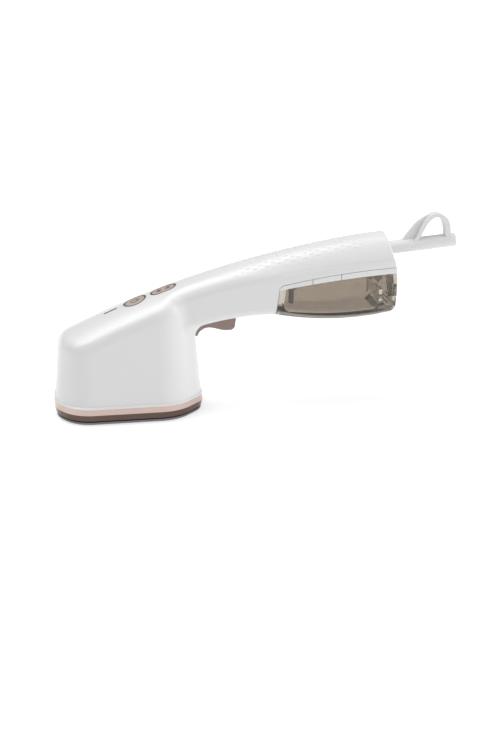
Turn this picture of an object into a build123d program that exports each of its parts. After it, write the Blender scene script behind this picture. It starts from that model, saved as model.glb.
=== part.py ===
from build123d import *
import math
import os

# Garment steamer: upright steam head on the left, grip running to +X, cord sleeve at the end.
# Frame: origin at the centre of the soleplate underside, Z up, Y across, millimetres.

# ---- head ----
WALL = 2.4            # plastic wall
DRAFT = 0.084         # inward lean of the head walls per mm of height
SKIRT_Z = 11.8        # underside of the white skirt
WALL_INSET = 1.35     # head wall behind the sole outline at z = 14
BODY_TOP = 132.0      # working height above the crown
PLAN = [(-54.9, 14, 29), (-41.5, 35.2, 25), (34, 35.2, 30), (54.7, 13, 20)]
NECK_R = 12.0         # concave radius between head and grip
CROWN_R = 12.0        # rolled edge round the top of the head

# ---- grip ----
GRIP_X0, GRIP_X1 = 10.0, 201.0
UNDER_MID = (75.0, 69.4)
BAY_X = 107.5         # front of the tank
UNDER_BAY = (BAY_X, 71.6)
TANK_LOW = (152.0, 66.6)
TANK_END = (201.0, 71.0)
EDGE_R = 6.0          # rounded lower edges of the grip
REAR_R = 1.0          # softened rear edge of the cover
SCREW_X = (130, 181)  # screws that hold cover and housing together
SCREW_DEPTH = 15.5    # foot of the screw posts below the crown

# ---- sole stack ----
SOLE_T = 1.8
GASKET_TOP = 3.0
RING_MID = 7.5        # edge between the two facets of the trim ring
BLOCK_TOP = 18.0
SHIELD_Z = 30.0
SHIELD_TOP = 32.0
PUMP_Z = 47.0
POSTS = [(-39.5, -20.8), (-39.5, 20.8), (24, -25.6), (24, 25.6)]
LEG_X, LEG_Y = 37.0, 15.0   # where the element's ends rise
PORT_X = -18.0        # water inlet of the steam chamber

# ---- buttons ----
POWER_X = 6.3
POWER_D = 18.0
MODE_X = 27.3
MODE_L, MODE_W = 20.4, 13.2
RIM = 1.2             # visible width of the dark button rims
GAP = 0.35            # air between parts that move past each other
SLIT_X = -11.7
SLIT_L, SLIT_W = 10.8, 2.4
BOARD_DEPTH = 10.5    # button board below the crown

# ---- trigger ----
PIVOT = (50.5, 63.5)
PIN_D = 3.0
TRIG_W = 16.8
SPRING_X = 75.0
FRAME_Z = 82.0        # underside of the inner frame

# ---- tank ----
SOCKET_X, SOCKET_Z = 122.5, 103.0
TANK_WALL = 2.3
FRONT_WALL = 5.0      # thick front wall of the tank
TANK_FLOOR = 5.2      # thick floor under both rooms
BAFFLE_X0, BAFFLE_X1 = 184.4, 187.0   # low cross wall in front of the filler
BAFFLE_TOP = 88.0
ROOM_R = 5.0          # rounded lower corners of both rooms
TANK_GAP = 0.35
LATCH_X0, LATCH_X1 = 134.3, 155.8
FLAP_Z = 91.0         # hinge of the filler flap
FLAP_X = 199.7

# ---- cord sleeve ----
BOOT_X, BOOT_Z = 199.0, 114.6
BOOT_TILT = 4.8
BOOT_D = 10.0
BORE_D = 7.2
BOOT_L = 48.0


def crown_mid(x):
    """Height of the crown line at y = 0."""
    u = x / 100
    return 80.0 + 39.4 * u - 7.8 * u * u


def crown_z(x, y):
    """Crown height: a shallow arch on the head that tightens along the grip."""
    k = min(max((x - 20) / 110, 0), 1)
    k = k * k * (3 - 2 * k)
    return crown_mid(x) - y * y / (104 - 58 * k) - 3.4e-5 * k * y ** 4


def crown_slope(x):
    return math.degrees(math.atan((39.4 - 15.6 * x / 100) / 100))


def on_crown(x, depth):
    """Frame on the crown line, its Z along the outward normal, lowered by depth."""
    s = math.radians(crown_slope(x))
    return Location((x + depth * math.sin(s), 0, crown_mid(x) - depth * math.cos(s)),
                    (0, -crown_slope(x), 0))


def plan(inset, z=0.0):
    """Sole outline moved inward by inset, at height z."""
    pts = [(x, -y) for x, y, r in PLAN] + [(x, y) for x, y, r in reversed(PLAN)]
    face = make_face(Polyline(*pts, close=True).edges())
    for x, y, r in PLAN:
        near = [v for v in face.vertices() if abs(v.X - x) < 1e-3 and abs(abs(v.Y) - y) < 1e-3]
        face = fillet(near, r)
    if inset:
        face = offset(face, -inset)
    return (Pos(0, 0, z) * face).faces()[0]


def slab(inset, z0, z1):
    return extrude(plan(inset, z0), z1 - z0, dir=(0, 0, 1))


def band(inset0, z0, inset1, z1):
    """Ruled solid between two outlines at two heights."""
    return loft([plan(inset0, z0), plan(inset1, z1)], ruled=True)


def inner_inset(z):
    return WALL_INSET + WALL + (z - 14) * DRAFT


def prism(edges, half=45.0):
    """Closed X-Z outline pushed out both ways across Y."""
    return extrude(Plane.XZ * make_face(edges), half, both=True)


def bar(x0, x1, y0, y1, z0, z1):
    return Pos((x0 + x1) / 2, (y0 + y1) / 2, (z0 + z1) / 2) * Box(x1 - x0, y1 - y0, z1 - z0)


def rod(x, y, z0, z1, d):
    return Pos(x, y, (z0 + z1) / 2) * Cylinder(d / 2, z1 - z0)


def rod_x(x0, x1, y, z, d):
    return Pos((x0 + x1) / 2, y, z) * Rot(0, 90, 0) * Cylinder(d / 2, x1 - x0)


def rod_y(y0, y1, x, z, d):
    return Pos(x, (y0 + y1) / 2, z) * Rot(90, 0, 0) * Cylinder(d / 2, y1 - y0)


def stadium(length, width, z0, z1):
    flat = SlotOverall(length, width)
    return extrude(Pos(0, 0, z0) * flat, z1 - z0, dir=(0, 0, 1))


def coil(radius, wire, turns, height):
    """Compression spring standing on z = 0."""
    path = Helix(pitch=(height - wire) / turns, height=height - wire, radius=radius)
    ring = Plane(path @ 0, z_dir=path % 0) * Circle(wire / 2)
    return Pos(0, 0, wire / 2) * sweep(ring, path=path)


# ---- body envelope ----
def head_walls(t):
    z0 = 14.0 if t == 0 else 10.0
    z1 = BODY_TOP
    lo = WALL_INSET + t + (z0 - 14) * DRAFT
    hi = WALL_INSET + t + (z1 - 14) * DRAFT
    return band(lo, z0, hi, z1)


def grip_walls(t):
    far = [(GRIP_X0, 20 - t), (62, 19.5 - t), (140, 21.8 - t), (205, 20.4 - t)]
    near = [(x, -y) for x, y in far]
    face = make_face([Spline(*far), Line(far[-1], near[-1]), Spline(*near), Line(near[0], far[0])])
    walls = extrude(Pos(0, 0, 40) * face, BODY_TOP - 40)
    start = (20, 54 + t)
    mid = (UNDER_BAY[0], UNDER_BAY[1] + t)
    end = (GRIP_X1, TANK_END[1] + t)
    side = prism([ThreePointArc(start, (UNDER_MID[0], UNDER_MID[1] + t), mid),
                  ThreePointArc(mid, (TANK_LOW[0], TANK_LOW[1] + t), end),
                  Line(end, (GRIP_X1, BODY_TOP)), Line((GRIP_X1, BODY_TOP), (20, BODY_TOP)),
                  Line((20, BODY_TOP), start)])
    body = walls & side
    low = [e for e in body.edges() if 50 < e.center().Z < 76 and abs(e.center().Y) > 15 - t]
    return fillet(low, EDGE_R)


def crown_tool(t):
    """Everything above the crown, lowered by t."""
    rows = [[Vector(x, y, crown_z(x, y) - t) for y in range(-39, 40, 6)] for x in range(-66, 229, 14)]
    return extrude(Face.make_surface_from_array_of_points(rows), amount=150, dir=(0, 0, 1))


def envelope(t):
    """Outside of the body moved inward by t."""
    body = head_walls(t) + grip_walls(t)
    neck = [e for e in body.edges() if 30 < e.center().X < 52 and 55 < e.center().Z < BODY_TOP - 1
            and e.length > 2 and abs(e.center().Y) < 20]
    body = fillet(neck, NECK_R)
    body -= crown_tool(t)
    front = [e for e in body.edges() if e.center().Z > 52 and e.center().X < -28]
    return fillet(front, CROWN_R - t)


def crease_line():
    """Side view of the joint between cover and housing."""
    return Spline((-64, 52.6), (-48, 53.4), (-36, 57.2), (-15, 64.6), (10, 74.6), (40, 86.0),
                  (70, 93.4), (100, 100.4), (130, 105.4), (165, 109.0), (210, 110.4))


def above_crease(gap):
    line = Pos(0, gap, 0) * crease_line()
    a, b = line @ 0, line @ 1
    pts = [(b.X, b.Y), (b.X, BODY_TOP + 12), (a.X, BODY_TOP + 12), (a.X, a.Y)]
    return prism([line] + [Line(pts[i], pts[i + 1]) for i in range(3)])


def rear_zone(back):
    """Everything behind the sloping end face, moved forward by back."""
    top, low = (190.6 - back, 132), (198.4 - back, 99)
    foot = (199.4 - back, 60)
    return prism([Line(top, low), Line(low, foot), Line(foot, (230, 60)), Line((230, 60), (230, 132)),
                  Line((230, 132), top)])


def bay_zone(grow):
    """Side view of the space the tank fills, grown by grow at its front and top."""
    f_top = (110.2 - grow, 92.4)
    f_low = (105.5 - grow, 60)
    corner = (112.4 - grow, 94.3 + grow)
    seam = ThreePointArc(corner, (152, 100.9 + grow), (206, 104.6 + grow))
    return prism([Line(f_low, f_top), Line(f_top, corner), seam,
                  Line((206, 104.6 + grow), (206, 60)), Line((206, 60), f_low)])


def lid_floor(drop):
    """Everything below the underside of the tank lid."""
    return prism([ThreePointArc((100, 88.8 - drop), (148, 96.2 - drop), (206, 100.2 - drop)),
                  Line((206, 100.2 - drop), (206, 55)), Line((206, 55), (100, 55)),
                  Line((100, 55), (100, 88.8 - drop))])


def tank_rear(back):
    """Everything behind the tank, with the round lower corner."""
    r = 7.0
    x = 197.7 - back
    low = TANK_END[1] - 1.2 + back
    return prism([Line((x - 0.6, 110), (x, 86)), Line((x, 86), (x - 0.7, low + r)),
                  RadiusArc((x - 0.7, low + r), (x - 0.7 - r, low), r),
                  Line((x - 0.7 - r, low), (150, 52)), Line((150, 52), (240, 52)),
                  Line((240, 52), (240, 110)), Line((240, 110), (x - 0.6, 110))])


OUTER = envelope(0)
INNER = envelope(WALL)
SHELL = OUTER - INNER


# ---- body shells ----
def upper_cover():
    body = (SHELL & above_crease(0.03)) - rear_zone(0)
    for x in (-20, 38):
        for y in (-9, 9):
            post = on_crown(x, BOARD_DEPTH - 0.8) * (Pos(0, y, 6) * Cylinder(2.5, 12))
            body += (post & OUTER & above_crease(0.03)) - crown_tool(1.2)
    for x in SCREW_X:
        foot = crown_mid(x) - SCREW_DEPTH
        for y in (-12.5, 12.5):
            post = rod(x, y, foot, BODY_TOP, 7) - rod(x, y, foot - 1, foot + 9, 2.9)
            body += (post & OUTER & above_crease(0.03)) - crown_tool(1.2)
    body -= on_crown(POWER_X, 0) * Cylinder(POWER_D / 2 + 0.1, 14)
    body -= on_crown(MODE_X, 0) * stadium(MODE_L + 0.2, MODE_W + 0.2, -7, 7)
    body -= on_crown(SLIT_X, 0) * stadium(SLIT_L + 0.2, SLIT_W + 0.2, -7, 7)
    rim = [e for e in body.edges() if e.center().X > 188 and e.center().Z > 108 and e.length > 45]
    return fillet(rim, REAR_R)


def arc_z(a, b, c, x):
    """Height at x of the upper circle through three X-Z points."""
    d = 2 * (a[0] * (b[1] - c[1]) + b[0] * (c[1] - a[1]) + c[0] * (a[1] - b[1]))
    sa, sb, sc = (p[0] ** 2 + p[1] ** 2 for p in (a, b, c))
    cx = (sa * (b[1] - c[1]) + sb * (c[1] - a[1]) + sc * (a[1] - b[1])) / d
    cz = (sa * (c[0] - b[0]) + sb * (a[0] - c[0]) + sc * (b[0] - a[0])) / d
    return cz + math.sqrt((a[0] - cx) ** 2 + (a[1] - cz) ** 2 - (x - cx) ** 2)


def seam_z(x):
    """Underside of the bay roof."""
    return arc_z((112.4, 94.3), (152, 100.9), (206, 104.6), x)


def floor_z(x):
    """Underside of the tank lid."""
    return arc_z((100, 88.8), (148, 96.2), (206, 100.2), x)


def on_deck(x, lift):
    """Frame on the bay roof, tilted with it."""
    slope = math.degrees(math.atan((seam_z(x + 1) - seam_z(x - 1)) / 2))
    return Location((x, 0, seam_z(x) + 2.0 + lift), (0, -slope, 0))


def lower_housing():
    body = (SHELL - above_crease(-0.03)) - bay_zone(0)
    foot = inner_inset(12) - WALL
    skirt = slab(0.3, SKIRT_Z, 12.5) + band(0.3, 12.5, foot, 13.3) + slab(foot, SKIRT_Z, 14)
    body += skirt - slab(inner_inset(12), 10, 16) - INNER
    deck = bay_zone(2.0) - bay_zone(0)
    body += (deck & INNER) - above_crease(-0.03)
    pivot = rod_y(-12.4, 12.4, PIVOT[0], PIVOT[1], 9) & OUTER
    body += pivot - bar(40, 60, -9.0, 9.0, 50, 75)
    body -= bar(43, 82.6, -8.8, 8.8, 53.6, 74)
    body -= rod_y(-11.4, 11.4, PIVOT[0], PIVOT[1], PIN_D + 0.04)
    for x in SCREW_X:
        foot = crown_mid(x) - SCREW_DEPTH
        for y in (-12.5, 12.5):
            pad = rod(x, y, seam_z(x) - 3, foot, 8) - bay_zone(0.5)
            body += pad
            body -= rod(x, y, 80, seam_z(x) + 3.0, 6.2)
            body -= rod(x, y, 80, foot + 1, 3.3)
    for x in (-14, 14):
        for y in (-11, 11):
            body += on_deck(153, 0) * (Pos(x, y, 0.9) * Cylinder(2, 4))
    body -= rod(SOCKET_X, 0, 80, 110, 6.0)
    for x, y in POSTS:
        lug = rod(x, y, SHIELD_TOP, SHIELD_Z + 6, 9)
        arm = bar(x - 3, x + 3, *sorted((y, math.copysign(40, y))), SHIELD_TOP, SHIELD_Z + 6)
        reach = (lug + arm) & OUTER
        body += reach - rod(x, y, 20, 60, 3.3)
    body -= rear_zone(0)
    return body.solids().sort_by(SortBy.VOLUME)[-1]


def rear_cap():
    body = (INNER & rear_zone(4.0)) - rear_zone(0.8) - bay_zone(2.0)
    return body - BOOT * rod_x(-20, 20, 0, 0, BOOT_D + 0.7)


# ---- sole stack ----
def soleplate():
    plate = slab(1.4, 0, SOLE_T)
    low = plate.edges().group_by(Axis.Z)[0]
    plate = chamfer(low, 0.7)
    for x in range(-40, 41, 10):
        for y in (-20, 20):
            if abs(x) < 35:
                plate -= rod(x, y, -1, 4, 2.6)
    for y in (-10, 10):
        for x in (-43, -30, 30, 42):
            plate -= rod(x, y, -1, 4, 2.6)
    plate -= bar(-16, -8, -26.6, -24.4, -1, 4) + bar(8, 16, -26.6, -24.4, -1, 4)
    plate -= bar(-16, -8, 24.4, 26.6, -1, 4) + bar(8, 16, 24.4, 26.6, -1, 4)
    return plate


def sole_gasket():
    return slab(2.1, SOLE_T, GASKET_TOP) - slab(6.0, 1, 4)


def trim_ring():
    ring = band(0.9, GASKET_TOP, 0, RING_MID) + band(0, RING_MID, 0.7, SKIRT_Z)
    return ring - slab(3.9, 2, 13)


def heat_ring():
    ring = slab(3.9, GASKET_TOP, SKIRT_Z) + slab(4.2, SKIRT_Z, 14)
    return ring - slab(6.0, 2, 15)


def heater_block():
    block = slab(6.4, SOLE_T, BLOCK_TOP)
    block -= slab(17, 11, 30) - bar(-12, 12, -3, 3, 5, 30) - bar(16, 19, -14, 14, 5, 30)
    block -= element_shape(0.0)
    for x, y in POSTS:
        block += rod(x, y, BLOCK_TOP - 1, SHIELD_Z, 7)
        block -= rod(x, y, SHIELD_Z - 9, SHIELD_Z + 1, 2.9)
    for x, y in [(-20, -20), (-20, 20), (20, -20), (20, 20), (-30, -10), (-30, 10), (30, -10), (30, 10)]:
        block -= rod(x, y, 0, 12, 3.0)
    return block


def element_shape(grow):
    d = 6.4 + 2 * grow
    z = 6.6
    bend = Pos(-14, 0, z) * Torus(LEG_Y, d / 2)
    shape = bend - bar(-14, 60, -40, 40, -10, 30)
    for y in (-LEG_Y, LEG_Y):
        shape += rod_x(-14, LEG_X, y, z, d)
        shape += Pos(LEG_X, y, z) * Sphere(d / 2)
        shape += rod(LEG_X, y, z, 25, d)
    return shape


def heating_element():
    shape = element_shape(0.0)
    for y in (-LEG_Y, LEG_Y):
        shape += rod(LEG_X, y, 24, 33.5, 2.6)
    return shape


def chamber_gasket():
    ring = slab(14.2, BLOCK_TOP, 18.8) - slab(17, 15, 25)
    for y in (-LEG_Y, LEG_Y):
        ring -= rod(LEG_X, y, 10, 30, 7)
    return ring


def chamber_cover():
    plate = slab(14.2, 18.8, 20.8)
    for y in (-LEG_Y, LEG_Y):
        plate -= rod(LEG_X, y, 10, 30, 8)
    port = rod(PORT_X, 0, 20.8, 27, 4.2)
    return plate + port - rod(PORT_X, 0, 10, 30, 2.4)


def thermostat():
    body = rod(14, 0, 20.8, 26.5, 15) + rod(14, 0, 26.5, 28, 11)
    for y in (-4.5, 4.5):
        body += bar(13.6, 14.4, y - 1.6, y + 1.6, 27, 29.6)
    return body


def thermal_fuse():
    body = rod_x(-3, 9, -24.2, 20.1, 4) + rod_x(-9, 15, -24.2, 20.1, 1.2)
    return body + bar(1, 5, -26.3, -22.1, BLOCK_TOP, 19.4)


def heat_shield():
    plate = slab(inner_inset(SHIELD_Z) + 0.6, SHIELD_Z, SHIELD_TOP)
    for x, y in POSTS:
        plate -= rod(x, y, 20, 40, 3.3)
    for y in (-LEG_Y, LEG_Y):
        plate -= rod(LEG_X, y, 20, 40, 6)
    plate -= rod(PORT_X, 0, 20, 40, 8)
    for x in (-4, 18):
        cradle = bar(x - 2, x + 2, -10, 10, SHIELD_TOP, 46)
        plate += cradle - rod_x(-30, 60, 0, PUMP_Z, 22)
    return plate


def heater_screws():
    """Four pan-head screws, each a solid of its own."""
    return Compound(children=[Part((rod(x, y, SHIELD_TOP + 4, SHIELD_TOP + 6, 5.6)
                                    + rod(x, y, SHIELD_Z - 8, SHIELD_TOP + 4, 2.8)).wrapped)
                              for x, y in POSTS])


# ---- water path ----
def pump():
    body = rod_x(-14, 24, 0, PUMP_Z, 22) + rod_x(-23, -14, 0, PUMP_Z, 12) + rod_x(24, 28, 0, PUMP_Z, 12)
    body += rod(PORT_X, 0, 36, PUMP_Z, 4.2) + rod_x(28, 32, 0, PUMP_Z, 4.2)
    body += bar(0, 14, -8, 8, PUMP_Z, PUMP_Z + 11.8)
    return body - rod(PORT_X, 0, 35, PUMP_Z, 2) - rod_x(25, 33, 0, PUMP_Z, 2)


def outlet_hose():
    return rod(PORT_X, 0, 21.2, 40.9, 6.6) - rod(PORT_X, 0, 20, 42, 4.3)


def inlet_hose():
    path = FilletPolyline((28.2, 0, PUMP_Z), (38, 0, PUMP_Z), (42, 9, 76), (60, 10, 92),
                          (100, 0, SOCKET_Z), (112.6, 0, SOCKET_Z), radius=7)
    start = Plane(path @ 0, z_dir=path % 0)
    return sweep(start * Circle(3.3), path=path) - sweep(start * Circle(2.35), path=path)


def tank_socket():
    body = rod(SOCKET_X, 0, seam_z(SOCKET_X) + 0.5, SOCKET_Z + 3.5, 9)
    body += rod(SOCKET_X, 0, 90, seam_z(SOCKET_X) + 5.0, 14)
    body -= bay_zone(2.0)
    body += rod(SOCKET_X, 0, floor_z(SOCKET_X) + 0.4, SOCKET_Z, 5.0)
    body += rod_x(112.5, SOCKET_X, 0, SOCKET_Z, 4.4)
    body -= rod(SOCKET_X, 0, 80, SOCKET_Z, 2.4)
    return body - rod_x(110, SOCKET_X, 0, SOCKET_Z, 2.4)


def room_side(x0, x1, lean=0.0):
    """Side view of one room in the tank, from the thick floor up; its front wall leans back."""
    def floor(x):
        return (x, TANK_LOW[1] + TANK_FLOOR + 0.0021 * (x - TANK_LOW[0]) ** 2)
    mid = (x0 + x1) / 2
    room = prism([ThreePointArc(floor(x0), floor(mid), floor(x1)), Line(floor(x1), (x1, 110)),
                  Line((x1, 110), (x0 + lean, 110)), Line((x0 + lean, 110), floor(x0))])
    low = [e for e in room.edges().filter_by(Axis.Y) if e.center().Z < 90]
    return fillet(low, ROOM_R)


def tank_body():
    body = (OUTER & bay_zone(-TANK_GAP) & lid_floor(0)) - tank_rear(0)
    rooms = room_side(BAY_X + TANK_GAP + FRONT_WALL, BAFFLE_X0, 5.1) + room_side(BAFFLE_X1, 215)
    rooms += bar(150, 210, -30, 30, BAFFLE_TOP, 110)
    body -= (rooms & INNER) - tank_rear(TANK_WALL)
    body -= rod_x(BAFFLE_X0 - 2, BAFFLE_X1 + 2, 0, 78.6, 4)
    for y in (-6.8, 6.8):
        body += bar(FLAP_X - 3.1, FLAP_X + 1.6, y - 1.0, y + 1.0, FLAP_Z - 1.8, FLAP_Z + 1.8)
    body -= rod_y(-9, 9, FLAP_X, FLAP_Z, 1.7)
    body -= rod_x(190, 205, 0, 83.6, 9.0)
    return body.solids().sort_by(SortBy.VOLUME)[-1]


def tank_lid():
    body = (OUTER & bay_zone(-TANK_GAP)) - lid_floor(0) - tank_rear(0)
    body += rod(SOCKET_X, 0, floor_z(SOCKET_X) - 6, floor_z(SOCKET_X) + 1, 10)
    body += bar(SOCKET_X - 5, SOCKET_X + 5, 0, 10, floor_z(SOCKET_X) - 5, floor_z(SOCKET_X) + 1)
    rib = prism([Line((170, 99), (170, 93.8)), Line((170, 93.8), (182, 94.4)), Line((182, 94.4), (187, 89.5)),
                 Line((187, 89.5), (190, 95)), Line((190, 95), (190, 99)), Line((190, 99), (170, 99))], 7)
    body += rib
    body -= rod(SOCKET_X, 0, floor_z(SOCKET_X) - 4, 110, 5.8)
    body -= rod(SOCKET_X, 0, 80, 110, 2.4)
    for side in (-1, 1):
        y0, y1 = sorted((side * 13.2, side * 30))
        body -= bar(LATCH_X0 - 0.15, LATCH_X1 + 0.15, y0, y1, 85, 110)
    return body


def release(side):
    """One squeeze button in the side of the lid."""
    y0, y1 = sorted((side * 16.2, side * 30))
    body = (OUTER & bay_zone(-TANK_GAP)) - lid_floor(0)
    body &= bar(LATCH_X0 + GAP, LATCH_X1 - GAP, y0, y1, 80, 110)
    body += Pos(0, side * 15.7, 0) * rod_y(-0.6, 0.6, 145, floor_z(145) + 1.9, 1.4)
    return body


def release_spring(side):
    ring = coil(1.45, 0.4, 3.5, 2.9)
    return Pos(145, side * 13.25, floor_z(145) + 1.9) * Rot(-90 * side, 0, 0) * ring


def suction_tube():
    return (rod(SOCKET_X, 0, 75.4, floor_z(SOCKET_X) - 6, 4.0)
            - rod(SOCKET_X, 0, 70, 100, 2.4))


def valve_disc():
    z = floor_z(SOCKET_X) - 4
    return rod(SOCKET_X, 0, z + 2.6, z + 3.6, 5.0) + rod(SOCKET_X, 0, z + 0.6, z + 2.6, 1.6)


def valve_spring():
    return Pos(SOCKET_X, 0, floor_z(SOCKET_X) - 4) * coil(2.0, 0.4, 3, 2.6)


def filler_flap():
    body = bar(FLAP_X - 1.65, FLAP_X + 0.1, -5.4, 5.4, 77.4, FLAP_Z)
    body = fillet([e for e in body.edges() if abs(e.center().Z - 77.4) < 0.1
                   and abs(abs(e.center().Y) - 5.4) < 0.1], 3)
    body += rod_y(-5.4, 5.4, FLAP_X, FLAP_Z, 3.2)
    body += rod_y(-7.7, 7.7, FLAP_X, FLAP_Z, 1.6)
    return body + rod_x(FLAP_X - 3.1, FLAP_X - 0.8, 0, 83.6, 8.0)


# ---- trigger ----
def trigger():
    pad = prism([Spline((50.9, 54.9), (53.2, 59.0), (57.5, 61.4), (66, 60.3), (74.5, 59.0)),
                 ThreePointArc((74.5, 59.0), (78.1, 60.1), (79.2, 63.4)),
                 Line((79.2, 63.4), (80.1, 68.4)), Line((80.1, 68.4), (80.1, 73.2)),
                 Line((80.1, 73.2), (84.6, 73.2)), Line((84.6, 73.2), (84.6, 75.0)),
                 Line((84.6, 75.0), (78.5, 75.0)), Line((78.5, 75.0), (56, 68.4)),
                 Line((56, 68.4), (47.6, 63.5)), Line((47.6, 63.5), (48.9, 56.6)),
                 Line((48.9, 56.6), (50.9, 54.9))], TRIG_W / 2)
    pad += rod_y(-TRIG_W / 2, TRIG_W / 2, PIVOT[0], PIVOT[1], 7)
    pad -= rod(SPRING_X, 0, 71, 90, 8.4)
    return pad - rod_y(-20, 20, PIVOT[0], PIVOT[1], PIN_D + 0.1)


def trigger_pin():
    return rod_y(-11.3, 11.3, PIVOT[0], PIVOT[1], PIN_D)


def trigger_spring():
    return Pos(SPRING_X, 0, 71.05) * coil(3.0, 0.8, 5, FRAME_Z - 71.1)


def inner_frame():
    plate = bar(56, 101, -10, 10, FRAME_Z, FRAME_Z + 2)
    legs = bar(89, 91, -12, 12, 60, FRAME_Z + 1) + bar(99, 101, -12, 12, 60, FRAME_Z + 1)
    return plate + (legs & INNER)


def microswitch():
    body = bar(57.6, 70.4, -3.2, 3.2, 76.2, FRAME_Z) + bar(63.8, 66.2, -1, 1, 75.5, 77)
    for x in (59, 64, 69):
        body += bar(x - 0.25, x + 0.25, 3.0, 6.5, 80, 81)
    return body


# ---- buttons ----
def power_rim():
    ring = on_crown(POWER_X, 0) * (Cylinder(POWER_D / 2, 12) - Cylinder(POWER_D / 2 - RIM, 14))
    seat = on_crown(POWER_X, 0) * (Pos(0, 0, -5.2) * (Cylinder(POWER_D / 2, 1.6) - Cylinder(4.2, 3)))
    return (ring + seat) - crown_tool(0)


def power_button():
    cap = on_crown(POWER_X, 0) * (Pos(0, 0, -1) * Cylinder(POWER_D / 2 - RIM - GAP, 5.0))
    stem = on_crown(POWER_X, 0) * (Pos(0, 0, -5.2) * Cylinder(3.6, 4.4))
    return (cap - crown_tool(0.15)) + stem


def mode_rim():
    ring = on_crown(MODE_X, 0) * (stadium(MODE_L, MODE_W, -6, 6)
                                  - stadium(MODE_L - 2 * RIM, MODE_W - 2 * RIM, -7, 7))
    seat = on_crown(MODE_X, 0) * (stadium(MODE_L, MODE_W, -6, -4.4) - stadium(9.4, 6.6, -7, 0))
    return (ring + seat) - crown_tool(0)


def mode_button():
    inset = 2 * RIM + 2 * GAP
    cap = on_crown(MODE_X, 0) * stadium(MODE_L - inset, MODE_W - inset, -3.5, 1.5)
    stem = on_crown(MODE_X, 0) * stadium(8.2, 5.4, -7.4, -3)
    return (cap - crown_tool(0.15)) + stem


def indicator_lens():
    window = stadium(SLIT_L, SLIT_W, -6, 3) + stadium(SLIT_L + 2, SLIT_W + 3, -6.5, -4.5)
    lens = on_crown(SLIT_X, 0) * window
    return lens - crown_tool(0.05)


def button_board():
    """Board under the cover with two dome switches and a light."""
    base = on_crown(9, BOARD_DEPTH)
    board = base * (Pos(0, 0, -0.8) * Box(66, 24, 1.6))
    for x, size in ((POWER_X, 6), (MODE_X, 6)):
        board += on_crown(x, BOARD_DEPTH) * (Pos(0, 0, 0.2) * Box(size, size, 2.6))
    board += on_crown(SLIT_X, BOARD_DEPTH) * (Pos(0, 0, 0.3) * Box(5, 3, 3.2))
    return board


def control_board():
    base = on_deck(153, 3.0)
    board = Box(34, 28, 1.6, align=(Align.CENTER, Align.CENTER, Align.MIN))
    board += Pos(-10, -4, 5) * Box(14, 12, 8)
    board += Pos(6, 6, 5.5) * Cylinder(4, 8)
    board += Pos(10, -6, 3) * Box(8, 6, 4)
    return base * board


# ---- cord entry ----
BOOT = Location((BOOT_X, 0, BOOT_Z), (0, -BOOT_TILT, 0))


def cord_boot():
    sleeve = rod_x(-12.4, BOOT_L, 0, 0, BOOT_D)
    tip = [e for e in sleeve.edges() if e.center().X > BOOT_L - 0.1]
    sleeve = fillet(tip, 1.0)
    sleeve += rod_x(-12.4, -10.2, 0, 0, 15)
    body = BOOT * sleeve
    strap = [Spline((213.6, 118.6), (218.8, 127.6), (224.2, 136.2), (231.5, 139.4), (239.2, 135.6),
                    (242.0, 127.0), (242.4, 120.0)), Line((242.4, 120.0), (213.6, 118.6))]
    inner = [Spline((217.0, 119.4), (221.8, 127.4), (226.6, 134.4), (231.4, 136.8), (235.6, 134.0),
                    (238.0, 127.6), (238.4, 121.2)), Line((238.4, 121.2), (217.0, 119.4))]
    fin = [Spline((204.7, 118.0), (213.2, 129.2), (221.2, 136.2), (229.0, 138.4)),
           Line((229.0, 138.4), (229.0, 119.6)), Line((229.0, 119.6), (204.7, 118.0))]
    loop = prism(strap, 4.0) + prism(fin, 1.2)
    body += loop - prism(inner, 6) - BOOT * rod_x(-20, 60, 0, 0, BOOT_D - 1)
    return body - BOOT * rod_x(-20, 60, 0, 0, BORE_D)


def clamp_base():
    base = bar(172.6, 178, -8, 8, 95, 109.3) - bay_zone(2.0)
    base -= BOOT * rod_x(-40, 0, 0, 0, 8.4)
    for y in (-6, 6):
        base -= rod(175.3, y, 104, 120, 2.1)
    return base


def clamp_bar():
    body = bar(172.6, 178, -8, 8, 112.9, 118.4) - BOOT * rod_x(-40, 0, 0, 0, 8.4)
    for y in (-6, 6):
        body += rod(175.3, y, 109.3, 113, 4) - BOOT * rod_x(-40, 0, 0, 0, 8.4)
        body -= rod(175.3, y, 104, 120, 2.4)
    return body


def clamp_screws():
    """Two screws of the cord clamp."""
    out = []
    for y in (-6, 6):
        out.append(Part((rod(175.3, y, 118.4, 119.8, 4.2) + rod(175.3, y, 106, 118.4, 2.0)).wrapped))
    return Compound(children=out)


def housing_screws():
    """Four screws from the bay roof up into the cover."""
    out = []
    for x in SCREW_X:
        foot = crown_mid(x) - SCREW_DEPTH
        for y in (-12.5, 12.5):
            top = seam_z(x) + 3.0
            out.append(Part((rod(x, y, top - 2.0, top, 5.6) + rod(x, y, top, foot + 6, 2.8)).wrapped))
    return Compound(children=out)


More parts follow.
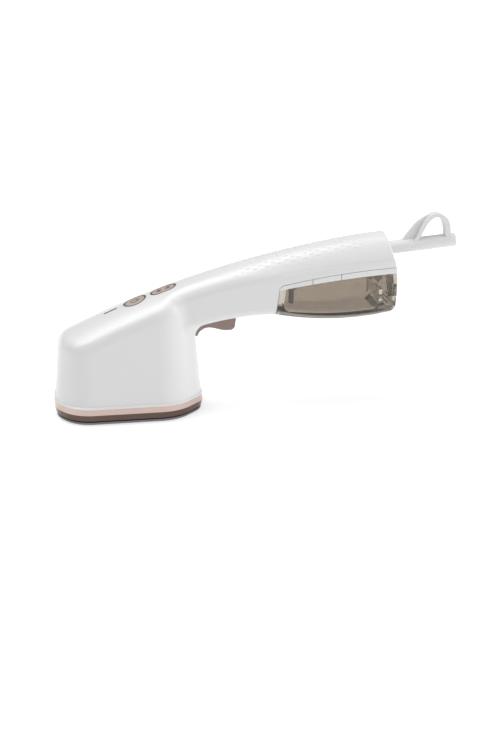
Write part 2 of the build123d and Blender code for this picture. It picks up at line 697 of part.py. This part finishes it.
PARTS = {
    "upper_cover": upper_cover, "lower_housing": lower_housing, "rear_cap": rear_cap,
    "soleplate": soleplate, "sole_gasket": sole_gasket, "trim_ring": trim_ring, "heat_ring": heat_ring,
    "heater_block": heater_block, "heating_element": heating_element, "chamber_gasket": chamber_gasket,
    "chamber_cover": chamber_cover, "thermostat": thermostat, "thermal_fuse": thermal_fuse,
    "heat_shield": heat_shield, "heater_screws": heater_screws, "pump": pump,
    "outlet_hose": outlet_hose, "inlet_hose": inlet_hose, "tank_socket": tank_socket,
    "tank_body": tank_body, "tank_lid": tank_lid,
    "release_left": lambda: release(-1), "release_right": lambda: release(1),
    "release_spring_left": lambda: release_spring(-1), "release_spring_right": lambda: release_spring(1),
    "suction_tube": suction_tube, "valve_disc": valve_disc, "valve_spring": valve_spring,
    "filler_flap": filler_flap, "trigger": trigger, "trigger_pin": trigger_pin,
    "trigger_spring": trigger_spring, "inner_frame": inner_frame, "microswitch": microswitch,
    "power_rim": power_rim, "power_button": power_button, "mode_rim": mode_rim,
    "mode_button": mode_button, "indicator_lens": indicator_lens, "button_board": button_board,
    "control_board": control_board, "cord_boot": cord_boot, "clamp_base": clamp_base,
    "clamp_bar": clamp_bar, "clamp_screws": clamp_screws, "housing_screws": housing_screws,
}

os.makedirs("parts", exist_ok=True)
for name, make in PARTS.items():
    shape = make()
    export_step(shape, os.path.join("parts", name + ".step"))
    print(name, shape.is_valid, len(shape.solids()), round(sum(s.volume for s in shape.solids())))
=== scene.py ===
# %% [markdown]
# # Garment steamer, white and rose gold
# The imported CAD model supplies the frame: body shells, soleplate stack, tank, trigger and buttons.
# This lesson adds what makes it look real: moulded plastic, plated metal and smoky tank materials,
# the marks on the two buttons, the raised grip dashes, and a soft studio round it.

# %% Load the frame
import bpy
import bmesh
import math
from mathutils import Matrix, Vector


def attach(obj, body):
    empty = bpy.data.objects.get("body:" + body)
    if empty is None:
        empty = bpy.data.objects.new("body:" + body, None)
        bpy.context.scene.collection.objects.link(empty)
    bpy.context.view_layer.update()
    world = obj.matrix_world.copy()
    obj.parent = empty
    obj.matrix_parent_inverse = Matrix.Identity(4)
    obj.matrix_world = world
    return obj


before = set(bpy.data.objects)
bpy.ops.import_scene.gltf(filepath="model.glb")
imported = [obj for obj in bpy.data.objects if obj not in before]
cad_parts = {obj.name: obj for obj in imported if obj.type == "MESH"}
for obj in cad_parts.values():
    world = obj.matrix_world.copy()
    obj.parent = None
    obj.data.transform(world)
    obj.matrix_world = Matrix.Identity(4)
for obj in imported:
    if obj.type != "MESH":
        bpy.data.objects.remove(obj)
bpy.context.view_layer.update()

# %% [markdown]
# ## Small helpers
# Colours are written as hex in sRGB and turned into linear values. `node` adds a shader node with
# its settings and links in one call, so each material below reads as a short recipe.

# %% Helpers
MM = 0.001
POWER_X, MODE_X = 6.3, 27.3      # centres of the two buttons along the body, mm
MARK_SINK = -0.08                # the printed marks sit this deep in their caps, mm


def linear(hex_code):
    """sRGB hex to a linear RGBA colour."""
    out = []
    for i in (1, 3, 5):
        c = int(hex_code[i:i + 2], 16) / 255
        out.append(c / 12.92 if c <= 0.04045 else ((c + 0.055) / 1.055) ** 2.4)
    return (*out, 1.0)


def node(tree, kind, values=None, links=None, **settings):
    """Adds one shader node; values fill sockets, links join sockets of other nodes."""
    made = tree.nodes.new(kind)
    for key, value in settings.items():
        setattr(made, key, value)
    for key, value in (values or {}).items():
        made.inputs[key].default_value = value
    for key, source in (links or {}).items():
        tree.links.new(source, made.inputs[key])
    return made


def material(name, **values):
    """A Principled material with uniform values set straight on its sockets."""
    mat = bpy.data.materials.new(name)
    mat.use_nodes = True
    shader = mat.node_tree.nodes["Principled BSDF"]
    for key, value in values.items():
        shader.inputs[key.replace("_", " ")].default_value = value
    return mat, mat.node_tree, shader


def fine_bump(tree, shader, size_mm, height_mm, detail=3.0):
    """Surface grain with a real feature size, through Object coordinates."""
    place = node(tree, "ShaderNodeTexCoord")
    noise = node(tree, "ShaderNodeTexNoise", {"Scale": 1000.0 / size_mm, "Detail": detail},
                 {"Vector": place.outputs["Object"]})
    bump = node(tree, "ShaderNodeBump", {"Strength": 1.0, "Distance": height_mm * MM},
                {"Height": noise.outputs["Fac"]})
    tree.links.new(bump.outputs["Normal"], shader.inputs["Normal"])


# %% [markdown]
# ## Materials
# Each one is a real material and how it is made.

# %% Body plastics
abs_white, tree, shader = material("abs_white_injection_moulded", Base_Color=linear("#dcdcdc"),
                                   Roughness=0.34, IOR=1.52, Coat_Weight=0.25, Coat_Roughness=0.22)
fine_bump(tree, shader, 0.9, 0.0012)
tpe_white, tree, shader = material("tpe_white_moulded", Base_Color=linear("#dadada"), Roughness=0.5, IOR=1.5)
pa_black, tree, shader = material("pa66_black_moulded", Base_Color=linear("#1b1b1c"), Roughness=0.55)
fine_bump(tree, shader, 0.6, 0.004)
silicone_black, tree, shader = material("silicone_black_moulded", Base_Color=linear("#19191a"),
                                        Roughness=0.62)
trigger_brown, tree, shader = material("abs_rose_brown_satin", Base_Color=linear("#8c776f"), Roughness=0.42)
fine_bump(tree, shader, 0.7, 0.002)

# %% Metals
# The trim ring's lower facet is coloured darker than its upper one, a painted reflection of dark surroundings
# on one plating; they part at RING_EDGE.
RING_EDGE = 7.5                  # height of the edge between the two facets, mm
rose_gold, tree, shader = material("steel_rose_gold_plated_painted_reflection", Metallic=1.0, Roughness=0.2)
place = node(tree, "ShaderNodeTexCoord")
split = node(tree, "ShaderNodeSeparateXYZ", links={"Vector": place.outputs["Object"]})
painted_reflection_step = node(tree, "ShaderNodeMapRange",
            {"From Min": (RING_EDGE - 0.2) * MM, "From Max": (RING_EDGE + 0.2) * MM},
            {"Value": split.outputs["Z"]})
# Painted reflection: colour A below RING_EDGE stands in for the dark surroundings the lower facet mirrors; B
# is the upper facet's plating colour.
painted_reflection_tone = node(tree, "ShaderNodeMix", {"A": linear("#62524b"), "B": linear("#c4b0a8")},
            {"Factor": painted_reflection_step.outputs["Result"]}, data_type="RGBA")
tree.links.new(painted_reflection_tone.outputs["Result"], shader.inputs["Base Color"])
sole_metal, tree, shader = material("aluminium_ceramic_coated", Base_Color=linear("#77777a"), Metallic=0.85,
                                    Roughness=0.33)
cast_alu, tree, shader = material("aluminium_die_cast", Base_Color=linear("#b4b5b8"), Metallic=1.0,
                                  Roughness=0.5)
fine_bump(tree, shader, 1.2, 0.03)
steel, tree, shader = material("steel_zinc_plated", Base_Color=linear("#bdbfc2"), Metallic=1.0,
                               Roughness=0.32)

# %% Button, lens, board and hose materials
cap_rose, tree, shader = material("abs_pale_rose_satin", Base_Color=linear("#c6b1a9"), Roughness=0.35,
                                  Metallic=0.3, Coat_Weight=0.3)
rim_grey, tree, shader = material("abs_dark_grey_moulded", Base_Color=linear("#5b5757"), Roughness=0.45)
ink_grey, tree, shader = material("pad_print_grey", Base_Color=linear("#77696a"), Roughness=0.5)
lens_dark, tree, shader = material("pmma_smoked_polished", Base_Color=linear("#4c4b4b"), Roughness=0.2)
board_green, tree, shader = material("fr4_green_solder_mask", Base_Color=linear("#1c5a36"), Roughness=0.4)
hose_clear, tree, shader = material("silicone_hose_extruded", Base_Color=linear("#d9d9d2"), Roughness=0.4,
                                    Transmission_Weight=0.4, IOR=1.41)

# %% Tank plastic
smoky, tree, shader = material("san_smoky_brown_moulded", Base_Color=linear("#b9b0a5"), Roughness=0.03,
                               IOR=1.46, Transmission_Weight=1.0, Coat_Weight=0.2)

# %% [markdown]
# ## Dress the CAD nodes
# Only material slots change here; every mesh stays exactly as packed.

# %% Assign materials
DRESS = {
    "upper_cover": abs_white, "lower_housing": abs_white, "rear_cap": abs_white, "tank_lid": abs_white,
    "release_left": abs_white, "release_right": abs_white, "cord_boot": tpe_white,
    "clamp_base": abs_white, "clamp_bar": abs_white, "soleplate": sole_metal, "sole_gasket": silicone_black,
    "trim_ring": rose_gold, "heat_ring": pa_black, "heater_block": cast_alu, "heating_element": steel,
    "chamber_gasket": silicone_black, "chamber_cover": cast_alu, "thermostat": steel, "thermal_fuse": steel,
    "heat_shield": pa_black, "heater_screws": steel, "pump": pa_black, "outlet_hose": hose_clear,
    "inlet_hose": hose_clear, "tank_socket": pa_black, "tank_body": smoky, "release_spring_left": steel,
    "release_spring_right": steel, "suction_tube": hose_clear, "valve_disc": silicone_black,
    "valve_spring": steel, "filler_flap": silicone_black, "trigger": trigger_brown, "trigger_pin": steel,
    "trigger_spring": steel, "inner_frame": pa_black, "microswitch": pa_black, "power_rim": rim_grey,
    "power_button": cap_rose, "mode_rim": rim_grey, "mode_button": cap_rose, "indicator_lens": lens_dark,
    "button_board": board_green, "control_board": board_green, "clamp_screws": steel,
    "housing_screws": steel,
}
for name, mat in DRESS.items():
    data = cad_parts[name].data
    data.materials.clear()
    data.materials.append(mat)
print("dressed", len(DRESS), "of", len(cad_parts))

# %% [markdown]
# ## The crown as a formula
# The dashes and button marks lie on the crown, so its height and slope are worked out here.

# %% Crown surface
def crown_z(x, y):
    """Crown height in mm at (x, y) in mm."""
    u = x / 100
    k = min(max((x - 20) / 110, 0), 1)
    k = k * k * (3 - 2 * k)
    return 80.0 + 39.4 * u - 7.8 * u * u - y * y / (104 - 58 * k) - 3.4e-5 * k * y ** 4


def crown_frame(x, y, lift=0.0):
    """Matrix on the crown: X along the body, Z along the outward normal, in metres."""
    e = 0.5
    dx = Vector((2 * e, 0, crown_z(x + e, y) - crown_z(x - e, y))).normalized()
    dy = Vector((0, 2 * e, crown_z(x, y + e) - crown_z(x, y - e)))
    n = dx.cross(dy).normalized()
    side = n.cross(dx)
    p = Vector((x, y, crown_z(x, y))) + n * lift
    m = Matrix((dx, side, n)).transposed().to_4x4()
    m.translation = p * MM
    return m


# %% Make and place small pieces
def fresh():
    bpy.ops.object.select_all(action="DESELECT")


def settle(obj, matrix):
    """Puts a piece in place inside its mesh, leaving the object at the origin."""
    obj.data.transform(matrix @ obj.matrix_basis)
    obj.matrix_basis = Matrix.Identity(4)
    return obj


def join(objs, name):
    fresh()
    for o in objs:
        o.select_set(True)
    bpy.context.view_layer.objects.active = objs[0]
    bpy.ops.object.join()
    objs[0].name = name
    objs[0].data.name = name
    return objs[0]


def finish_piece(obj, name, mat, body):
    """Name, material slot and body of one finished piece."""
    obj.name = name
    obj.data.name = name
    obj.data.materials.clear()
    obj.data.materials.append(mat)
    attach(obj, body)
    return obj


def ring_arc(radius, wire, start, end, flat=0.35):
    """Part of a flattened ring, made from a torus by deleting the rest of it."""
    fresh()
    bpy.ops.mesh.primitive_torus_add(major_radius=radius * MM, minor_radius=wire / 2 * MM,
                                     major_segments=72, minor_segments=10)
    obj = bpy.context.object
    bm = bmesh.new()
    bm.from_mesh(obj.data)
    gone = [f for f in bm.faces if not start <= math.degrees(
        math.atan2(f.calc_center_median().y, f.calc_center_median().x)) % 360 <= end]
    if end - start < 360:
        bmesh.ops.delete(bm, geom=gone, context="FACES")
    for v in bm.verts:
        v.co.z *= flat
    bm.to_mesh(obj.data)
    bm.free()
    return obj


def bar(x, y, length, width, angle, thick=0.3):
    """Flat rounded stroke centred at x, y in its own plane."""
    fresh()
    bpy.ops.mesh.primitive_cube_add(size=1.0)
    obj = bpy.context.object
    obj.data.transform(Matrix.Diagonal((length * MM, width * MM, thick * MM, 1)))
    mod = obj.modifiers.new("round", "BEVEL")
    mod.width = min(width, length) * 0.3 * MM
    mod.segments = 3
    bpy.ops.object.modifier_apply(modifier="round")
    obj.data.transform(Matrix.Translation((x * MM, y * MM, 0)) @ Matrix.Rotation(math.radians(angle), 4, "Z"))
    return obj


# %% [markdown]
# ## Button marks
# A power ring with a stroke through its gap on the round cap, and two small steam marks on the oval one.

# %% Power mark
parts = [ring_arc(3.1, 0.75, 30, 330), bar(2.6, 0, 3.4, 0.75, 0)]
mark = join(parts, "power_mark")
settle(mark, crown_frame(POWER_X, 0, MARK_SINK))
finish_piece(mark, "power_mark", ink_grey, "power_button")

# %% Steam marks
parts = []
for offset in (-3.4, 3.4):
    parts.append(ring_arc(1.9, 0.55, 0, 360))
    parts[-1].data.transform(Matrix.Translation((offset * MM, 0, 0)))
    for k in (-0.9, 0.0, 0.9):
        parts.append(bar(offset + 0.2, k, 1.7, 0.4, 0))
mark = join(parts, "steam_marks")
settle(mark, crown_frame(MODE_X, 0, MARK_SINK))
finish_piece(mark, "steam_marks", ink_grey, "mode_button")

# %% [markdown]
# ## Grip dashes
# Low moulded dashes in a staggered grid over the back of the grip. Each is a squashed sphere sunk
# into the skin, smaller toward the edges of the field.

# %% Grip dash field
FIELD_X, FIELD_LENGTH = 74, 108  # start and length along the grip, mm
COLUMNS, ROWS_EACH_SIDE = 24, 5
ROW_STEP = 3.4
FIELD_HALF = 15.5
DASH = (1.75, 0.85, 0.26)        # half length, half width and height of a full-size dash, mm
DASH_TURN = math.radians(-10)


def grip_dashes():
    fresh()
    bpy.ops.mesh.primitive_uv_sphere_add(segments=16, ring_count=8, radius=1.0)
    seed = bpy.context.object
    bm_all = bmesh.new()
    count = 0
    for i in range(COLUMNS):
        x = FIELD_X + i * (FIELD_LENGTH / (COLUMNS - 1))
        for j in range(-ROWS_EACH_SIDE, ROWS_EACH_SIDE + 1):
            y = j * ROW_STEP + (ROW_STEP / 2 if i % 2 else 0)
            if abs(y) > FIELD_HALF:
                continue
            edge = min(1.0, (i + 1) / 4, (COLUMNS - i) / 3, (FIELD_HALF + 2 - abs(y)) / 4)
            size = 0.55 + 0.45 * edge
            local = crown_frame(x, y, -0.02) @ Matrix.Rotation(DASH_TURN, 4, "Z")
            scale = (DASH[0] * size * MM, DASH[1] * size * MM, DASH[2] * edge * MM, 1)
            local = local @ Matrix.Diagonal(scale)
            copy = seed.data.copy()
            copy.transform(local)
            bm_all.from_mesh(copy)
            bpy.data.meshes.remove(copy)
            count += 1
    bm_all.to_mesh(seed.data)
    bm_all.free()
    for face in seed.data.polygons:
        face.use_smooth = True
    print("grip dashes", count)
    return seed


finish_piece(grip_dashes(), "grip_dashes", abs_white, "housing")

# %% [markdown]
# ## Studio
# A plain pale floor that glows a little more far away, a white surround that is weaker on the left and
# white at the horizon, a broad light above, a key from the right and two thin strips for the edges.

# %% Floor
# Its glow rises with distance from the object, so that the far floor stays white.
fresh()
bpy.ops.mesh.primitive_plane_add(size=30, location=(0, 0, -0.0005))
floor = bpy.context.object
floor.name = "floor"
floor_mat, tree, shader = material("paper_white_backdrop", Base_Color=linear("#bcbcbc"), Roughness=0.9)
shader.inputs["Specular IOR Level"].default_value = 0.0
shader.inputs["Emission Color"].default_value = (1, 1, 1, 1)
place = node(tree, "ShaderNodeTexCoord")
reach = node(tree, "ShaderNodeVectorMath", links={0: place.outputs["Object"]}, operation="LENGTH")
glow = node(tree, "ShaderNodeMapRange", {"From Min": 0.25, "From Max": 1.6, "To Min": 0.62, "To Max": 0.95},
            {"Value": reach.outputs["Value"]}, interpolation_type="SMOOTHSTEP")
tree.links.new(glow.outputs["Result"], shader.inputs["Emission Strength"])
floor.data.materials.append(floor_mat)

# %% Lights
def area(name, place, target, size, power, size_y=None):
    light = bpy.data.lights.new(name, "AREA")
    light.energy = power
    light.size = size
    if size_y:
        light.shape = "RECTANGLE"
        light.size_y = size_y
    obj = bpy.data.objects.new(name, light)
    bpy.context.collection.objects.link(obj)
    obj.location = place
    obj.rotation_euler = (Vector(target) - Vector(place)).to_track_quat("-Z", "Y").to_euler()
    return obj


area("key_right", (1.3, -0.25, 0.75), (0.05, 0, 0.06), 0.8, 8, 1.2)
area("top", (-0.38, 0.2, 1.4), (0.02, 0, 0.08), 1.2, 18.5)
area("front_left_strip", (-0.55, -1.3, 0.55), (-0.03, 0, 0.04), 0.12, 0.35, 0.9)
area("low_right_strip", (1.0, 0.05, 0.1), (0.05, 0, 0.02), 0.3, 0.5, 0.1)
# %% Surround
world = bpy.data.worlds.new("white_surround")
bpy.context.scene.world = world
world.use_nodes = True
world.node_tree.nodes["Background"].inputs["Color"].default_value = (1, 1, 1, 1)
surround = world.node_tree
direction = node(surround, "ShaderNodeTexCoord")
axes = node(surround, "ShaderNodeSeparateXYZ", links={"Vector": direction.outputs["Generated"]})
falloff = node(surround, "ShaderNodeMapRange", {"From Min": -1.0, "To Min": 0.1, "To Max": 0.66},
               {"Value": axes.outputs["X"]})
horizon = node(surround, "ShaderNodeMapRange",
               {"From Min": 0.03, "From Max": 0.14, "To Min": 1.0, "To Max": 0.0},
               {"Value": axes.outputs["Z"]}, interpolation_type="SMOOTHSTEP")
strength = node(surround, "ShaderNodeMix", {"B": 1.05},
                {"Factor": horizon.outputs["Result"], "A": falloff.outputs["Result"]})
surround.links.new(strength.outputs["Result"], surround.nodes["Background"].inputs["Strength"])

# %% Camera
AZIMUTH, ELEVATION, DISTANCE = math.radians(9.5), math.radians(19.0), 1.1278
TARGET = Vector((0.09168, 0, 0.02009))
toward = Vector((-math.sin(AZIMUTH) * math.cos(ELEVATION), -math.cos(AZIMUTH) * math.cos(ELEVATION),
                 math.sin(ELEVATION)))
cam = bpy.data.cameras.new("camera")
cam.lens = 72
cam.sensor_width = 36
camera = bpy.data.objects.new("camera", cam)
bpy.context.collection.objects.link(camera)
camera.location = TARGET + toward * DISTANCE
camera.rotation_euler = (-toward).to_track_quat("-Z", "Y").to_euler()
bpy.context.scene.camera = camera
bpy.context.scene.view_settings.view_transform = "Standard"
